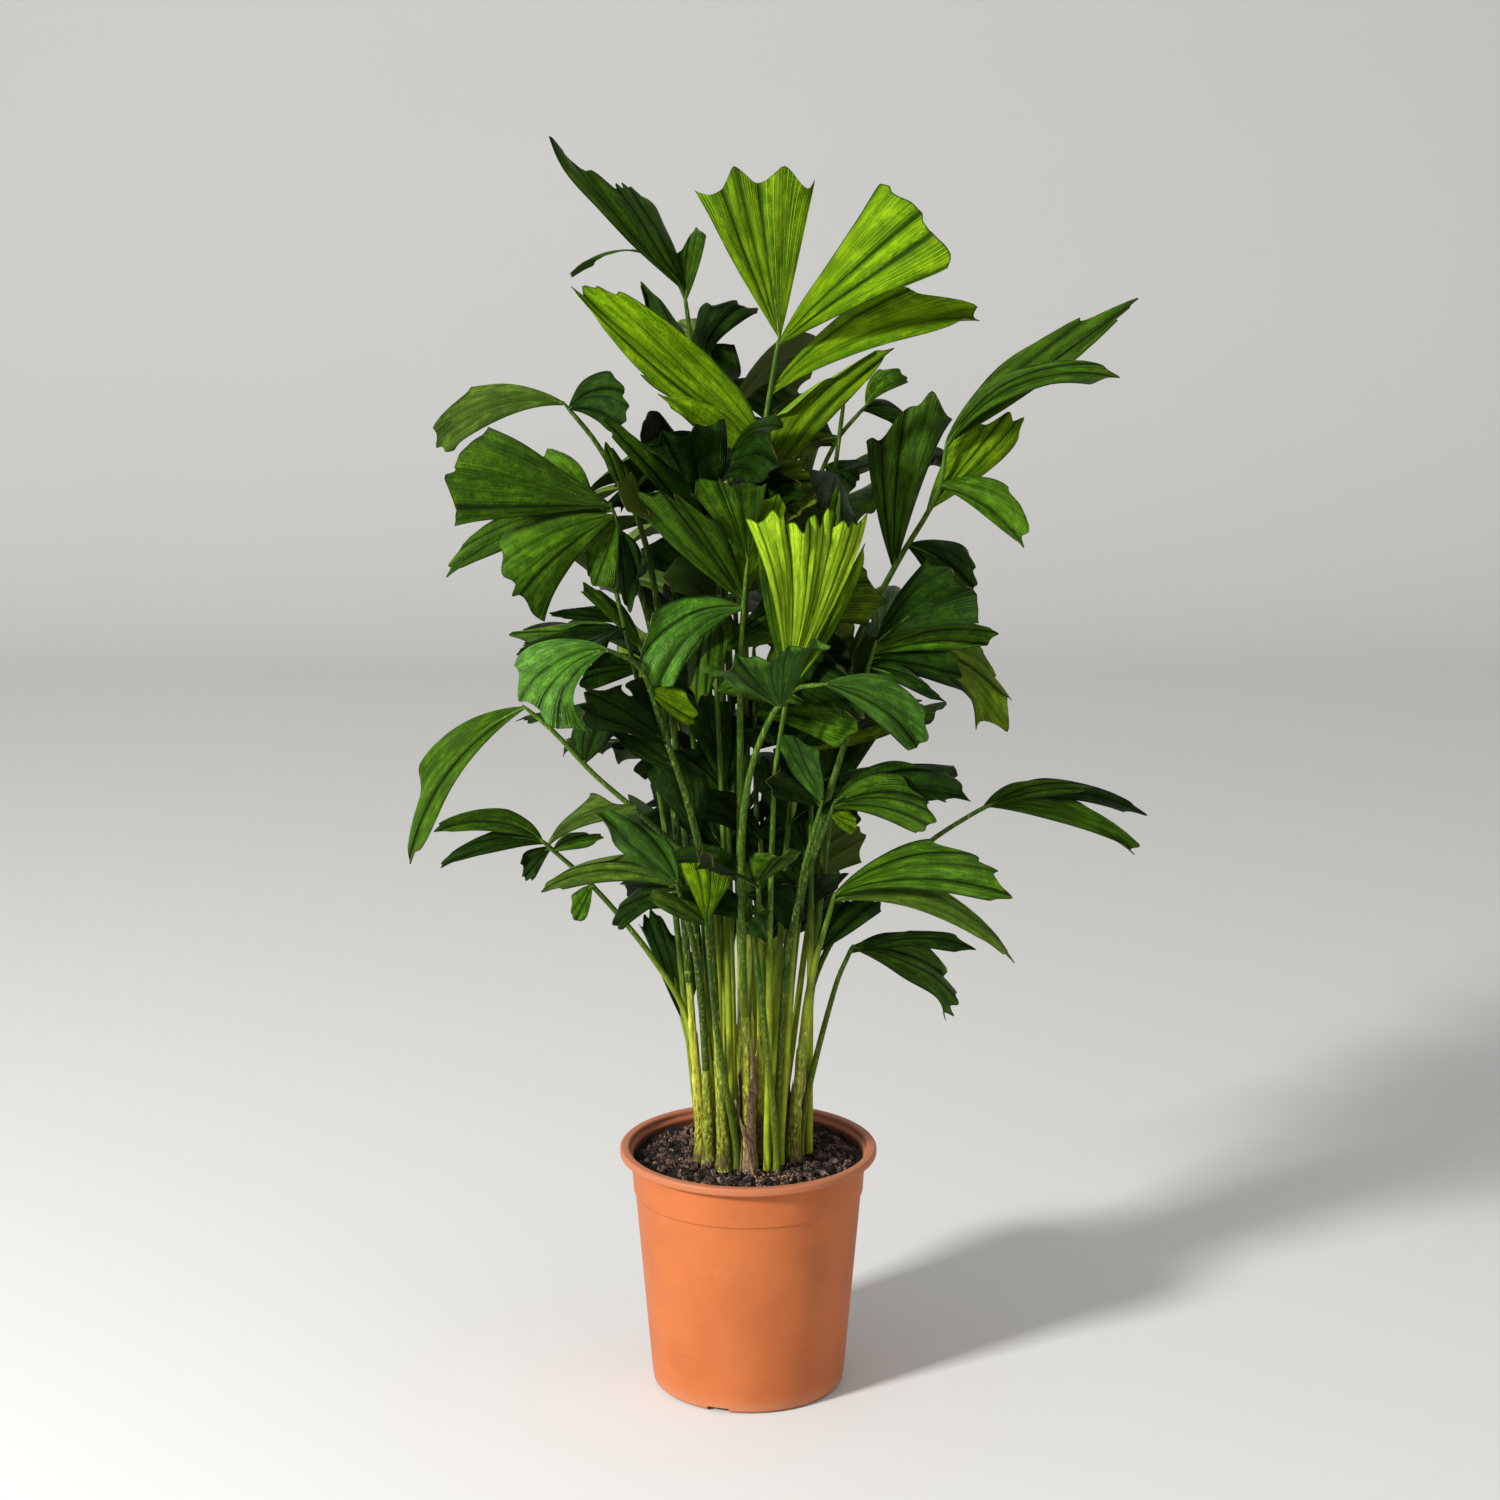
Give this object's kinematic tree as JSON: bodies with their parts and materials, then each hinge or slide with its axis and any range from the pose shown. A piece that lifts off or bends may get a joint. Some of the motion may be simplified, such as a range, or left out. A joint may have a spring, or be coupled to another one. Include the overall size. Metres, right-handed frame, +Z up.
{
  "type": "potted fishtail palm",
  "caption": "Bushy fishtail palm with arching fronds of jagged wedge leaflets on a clump of slim green canes, growing in a round tapered terracotta-coloured nursery pot.",
  "frame": {"origin": "middle of the pot's flat underside, at the level it stands on", "axes": "+Z up through the pot, +X to the viewer's right and +Y away from the viewer as pictured"},
  "size_m": [0.6683, 0.549, 1.1646],
  "materials": {
    "pot": "matte",
    "soil": "rough",
    "cane": "satin",
    "frond": "satin"
  },
  "bodies": {
    "root": {"cane_back_left_high": "cane", "cane_centre_fan": "cane", "cane_centre_left_dark": "cane", "cane_centre_right": "cane", "cane_front_flat": "cane", "cane_left_arch": "cane", "cane_left_big_droop": "cane", "cane_left_fans": "cane", "cane_left_low_leaf": "cane", "cane_right_high": "cane", "cane_right_low": "cane", "cane_right_mid": "cane", "cane_top": "cane", "frond_back_10": "frond", "frond_back_12": "frond", "frond_back_2": "frond", "frond_back_3": "frond", "frond_back_4": "frond", "frond_back_5": "frond", "frond_back_6": "frond", "frond_back_7": "frond", "frond_back_8": "frond", "frond_back_9": "frond", "frond_back_left_high": "frond", "frond_back_right_high": "frond", "frond_bright_fan": "frond", "frond_centre_dark": "frond", "frond_centre_fan": "frond", "frond_centre_left_dark": "frond", "frond_centre_right": "frond", "frond_centre_right_dark": "frond", "frond_centre_small": "frond", "frond_core_2": "frond", "frond_core_4": "frond", "frond_core_5": "frond", "frond_core_6": "frond", "frond_core_7": "frond", "frond_core_8": "frond", "frond_front_flat": "frond", "frond_front_low": "frond", "frond_left_arch": "frond", "frond_left_big_droop": "frond", "frond_left_fans": "frond", "frond_left_hanging": "frond", "frond_left_low_droop": "frond", "frond_left_low_leaf": "frond", "frond_left_low_spray": "frond", "frond_left_mid_back": "frond", "frond_right_far": "frond", "frond_right_high": "frond", "frond_right_low": "frond", "frond_right_low_mid": "frond", "frond_right_lowest": "frond", "frond_right_mid": "frond", "frond_top": "frond", "pot": "pot", "soil": "soil"}
  },
  "joints": []
}
